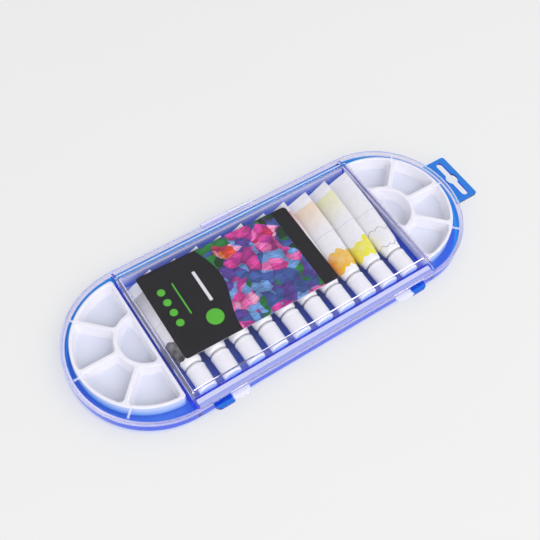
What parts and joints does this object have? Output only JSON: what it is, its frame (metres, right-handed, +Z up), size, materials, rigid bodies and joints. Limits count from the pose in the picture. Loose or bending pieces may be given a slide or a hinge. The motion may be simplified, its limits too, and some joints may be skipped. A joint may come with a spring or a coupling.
{
  "type": "art supply case",
  "caption": "Flat round-ended paint case: blue tray with hang tab, clear hinged lid with raised box, capped paint tubes under a card, and a half-round palette in each end.",
  "frame": {"origin": "centre of the tray's underside, midway between the centres of its round ends", "axes": "+X along the case towards the hang tab, +Y towards the hinge, +Z up through the lid"},
  "size_m": [0.3583, 0.1399, 0.023],
  "materials": {
    "blue_clear_plastic": "clear tinted polystyrene, polished",
    "clear_plastic": "clear polystyrene, polished",
    "white_palette": "satin",
    "printed_card": "printed, satin",
    "tube_laminate": "printed white laminate, satin",
    "white_cap": "satin"
  },
  "bodies": {
    "tray": {"base_tray": "blue_clear_plastic", "palette_left": "white_palette", "palette_right": "white_palette", "label_card": "printed_card", "tube_01": "tube_laminate", "tube_02": "tube_laminate", "tube_03": "tube_laminate", "tube_04": "tube_laminate", "tube_05": "tube_laminate", "tube_06": "tube_laminate", "tube_07": "tube_laminate", "tube_08": "tube_laminate", "tube_09": "tube_laminate", "tube_10": "tube_laminate"},
    "lid": {"lid": "clear_plastic"},
    "tube_cap_01": {"tube_cap_01": "white_cap"},
    "tube_cap_02": {"tube_cap_02": "white_cap"},
    "tube_cap_03": {"tube_cap_03": "white_cap"},
    "tube_cap_04": {"tube_cap_04": "white_cap"},
    "tube_cap_05": {"tube_cap_05": "white_cap"},
    "tube_cap_06": {"tube_cap_06": "white_cap"},
    "tube_cap_07": {"tube_cap_07": "white_cap"},
    "tube_cap_08": {"tube_cap_08": "white_cap"},
    "tube_cap_09": {"tube_cap_09": "white_cap"},
    "tube_cap_10": {"tube_cap_10": "white_cap"}
  },
  "joints": [
    {"name": "lid_hinge", "type": "hinge", "parent": "tray", "child": "lid", "pos_m": [0, 0.0674, 0.0115], "axis": [-1, 0, 0], "range_deg": [0, 180]},
    {"name": "tube_cap_01_turn", "type": "hinge", "parent": "tray", "child": "tube_cap_01", "pos_m": [-0.0909, -0.035, 0.0106], "axis": [0, -1, 0], "range_deg": [0, 720]},
    {"name": "tube_cap_02_turn", "type": "hinge", "parent": "tray", "child": "tube_cap_02", "pos_m": [-0.0707, -0.035, 0.0106], "axis": [0, -1, 0], "range_deg": [0, 720]},
    {"name": "tube_cap_03_turn", "type": "hinge", "parent": "tray", "child": "tube_cap_03", "pos_m": [-0.0505, -0.035, 0.0106], "axis": [0, -1, 0], "range_deg": [0, 720]},
    {"name": "tube_cap_04_turn", "type": "hinge", "parent": "tray", "child": "tube_cap_04", "pos_m": [-0.0303, -0.035, 0.0106], "axis": [0, -1, 0], "range_deg": [0, 720]},
    {"name": "tube_cap_05_turn", "type": "hinge", "parent": "tray", "child": "tube_cap_05", "pos_m": [-0.0101, -0.035, 0.0106], "axis": [0, -1, 0], "range_deg": [0, 720]},
    {"name": "tube_cap_06_turn", "type": "hinge", "parent": "tray", "child": "tube_cap_06", "pos_m": [0.0101, -0.035, 0.0106], "axis": [0, -1, 0], "range_deg": [0, 720]},
    {"name": "tube_cap_07_turn", "type": "hinge", "parent": "tray", "child": "tube_cap_07", "pos_m": [0.0303, -0.035, 0.0106], "axis": [0, -1, 0], "range_deg": [0, 720]},
    {"name": "tube_cap_08_turn", "type": "hinge", "parent": "tray", "child": "tube_cap_08", "pos_m": [0.0505, -0.035, 0.0106], "axis": [0, -1, 0], "range_deg": [0, 720]},
    {"name": "tube_cap_09_turn", "type": "hinge", "parent": "tray", "child": "tube_cap_09", "pos_m": [0.0707, -0.035, 0.0106], "axis": [0, -1, 0], "range_deg": [0, 720]},
    {"name": "tube_cap_10_turn", "type": "hinge", "parent": "tray", "child": "tube_cap_10", "pos_m": [0.0909, -0.035, 0.0106], "axis": [0, -1, 0], "range_deg": [0, 720]}
  ]
}
